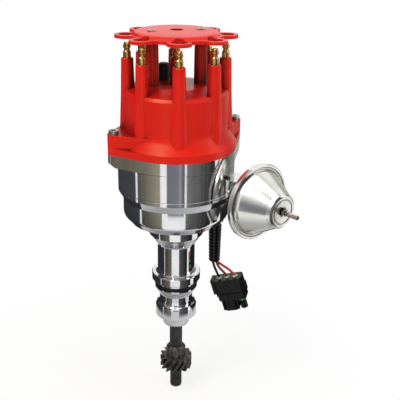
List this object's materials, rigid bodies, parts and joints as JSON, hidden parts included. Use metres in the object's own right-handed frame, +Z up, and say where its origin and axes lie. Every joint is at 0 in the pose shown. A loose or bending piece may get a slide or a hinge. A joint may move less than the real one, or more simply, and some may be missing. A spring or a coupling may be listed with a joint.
{
  "type": "ignition distributor",
  "caption": "Ignition distributor: turned metal housing, red cap of eight plug lead towers under a wire retainer, vacuum canister, helical drive gear and a short lead with a sealed plug.",
  "frame": {"origin": "on the shaft axis, in the plane of the hold-down flange's underside, where the distributor seats on the engine block", "axes": "+Z up along the shaft to the cap; +X to the side of the vacuum canister and the lead; -Y to the front, as pictured"},
  "size_m": [0.1632, 0.1217, 0.3632],
  "materials": {
    "polished_aluminium": "polished",
    "red_plastic": "gloss",
    "zinc_steel": "zinc plated",
    "terminal_brass": "satin",
    "carbon": "matte",
    "spring_steel": "bright wire",
    "black_rubber": "matte",
    "bronze": "sintered",
    "bearing_steel": "ground",
    "black_steel": "black oxide",
    "gear_iron": "phosphate",
    "gold_chromate": "chromate",
    "coil_blue": "matte",
    "module_black": "matte",
    "bright_plate": "plated",
    "black_conduit": "satin",
    "black_insulation": "satin",
    "red_insulation": "satin",
    "orange_insulation": "satin",
    "pale_seal": "matte",
    "green_seal": "matte"
  },
  "bodies": {
    "case": {"housing": "polished_aluminium", "cap": "red_plastic", "cap_screws": "zinc_steel", "spark_terminals": "terminal_brass", "coil_terminal": "terminal_brass", "coil_button": "carbon", "button_spring": "spring_steel", "vent_plug": "black_rubber", "wire_retainer": "red_plastic", "retainer_screws": "zinc_steel", "block_o_ring": "black_rubber", "lower_bushing": "bronze", "upper_bearing": "bearing_steel", "bearing_ring": "spring_steel", "plate_ring": "spring_steel", "ignition_module": "module_black", "module_screws": "zinc_steel", "canister_cup": "bright_plate", "canister_bell": "bright_plate", "diaphragm": "black_rubber", "return_spring": "spring_steel", "canister_screws": "zinc_steel", "lead_grommet": "black_rubber", "lead_conduit": "black_conduit", "wire_black": "black_insulation", "wire_red": "red_insulation", "wire_orange": "orange_insulation", "plug_body": "black_conduit", "plug_wire_seals": "pale_seal", "plug_lock": "black_conduit", "plug_face_seals": "green_seal"},
    "shaft": {"main_shaft": "black_steel", "drive_gear": "gear_iron", "gear_pin": "zinc_steel", "cam_plate": "zinc_steel", "cam_clip": "spring_steel"},
    "advance": {"advance_sleeve": "bearing_steel", "advance_plate": "gold_chromate", "reluctor": "bearing_steel", "rotor": "red_plastic", "rotor_blade": "terminal_brass", "rotor_screws": "zinc_steel", "spring_a": "spring_steel", "spring_b": "spring_steel"},
    "weight_left": {"weight_b": "zinc_steel"},
    "weight_right": {"weight_a": "zinc_steel"},
    "pickup": {"pickup_plate": "bearing_steel", "pickup_coil": "coil_blue", "link_pin": "zinc_steel"},
    "pull_link": {"vacuum_link": "zinc_steel", "diaphragm_plate": "zinc_steel"}
  },
  "joints": [
    {"name": "shaft_spin", "type": "hinge", "parent": "case", "child": "shaft", "pos_m": [0, 0, 0], "axis": [0, 0, 1], "continuous": true},
    {"name": "centrifugal_advance", "type": "hinge", "parent": "shaft", "child": "advance", "pos_m": [0, 0, 0.12], "axis": [0, 0, 1], "range_deg": [0, 12], "stiffness_Nm_per_rad": 0.4},
    {"name": "weight_right_swing", "type": "hinge", "parent": "advance", "child": "weight_right", "pos_m": [0.02098, 0.00103, 0.1275], "axis": [0, 0, 1], "range_deg": [-24, 0]},
    {"name": "weight_left_swing", "type": "hinge", "parent": "advance", "child": "weight_left", "pos_m": [-0.02098, -0.00103, 0.1275], "axis": [0, 0, 1], "range_deg": [-24, 0]},
    {"name": "vacuum_advance", "type": "hinge", "parent": "case", "child": "pickup", "pos_m": [0, 0, 0.099], "axis": [0, 0, 1], "range_deg": [-10, 0], "stiffness_Nm_per_rad": 2},
    {"name": "pull_rod_slide", "type": "slide", "parent": "case", "child": "pull_link", "axis": [0.6361, -0.7716, 0], "range_m": [0, 0.00635]}
  ],
  "couplings": [
    {"joint": "weight_right_swing", "follows": "centrifugal_advance", "ratio": -2},
    {"joint": "weight_left_swing", "follows": "centrifugal_advance", "ratio": -2},
    {"joint": "pull_rod_slide", "follows": "vacuum_advance", "m_per_rad": -0.03638}
  ]
}
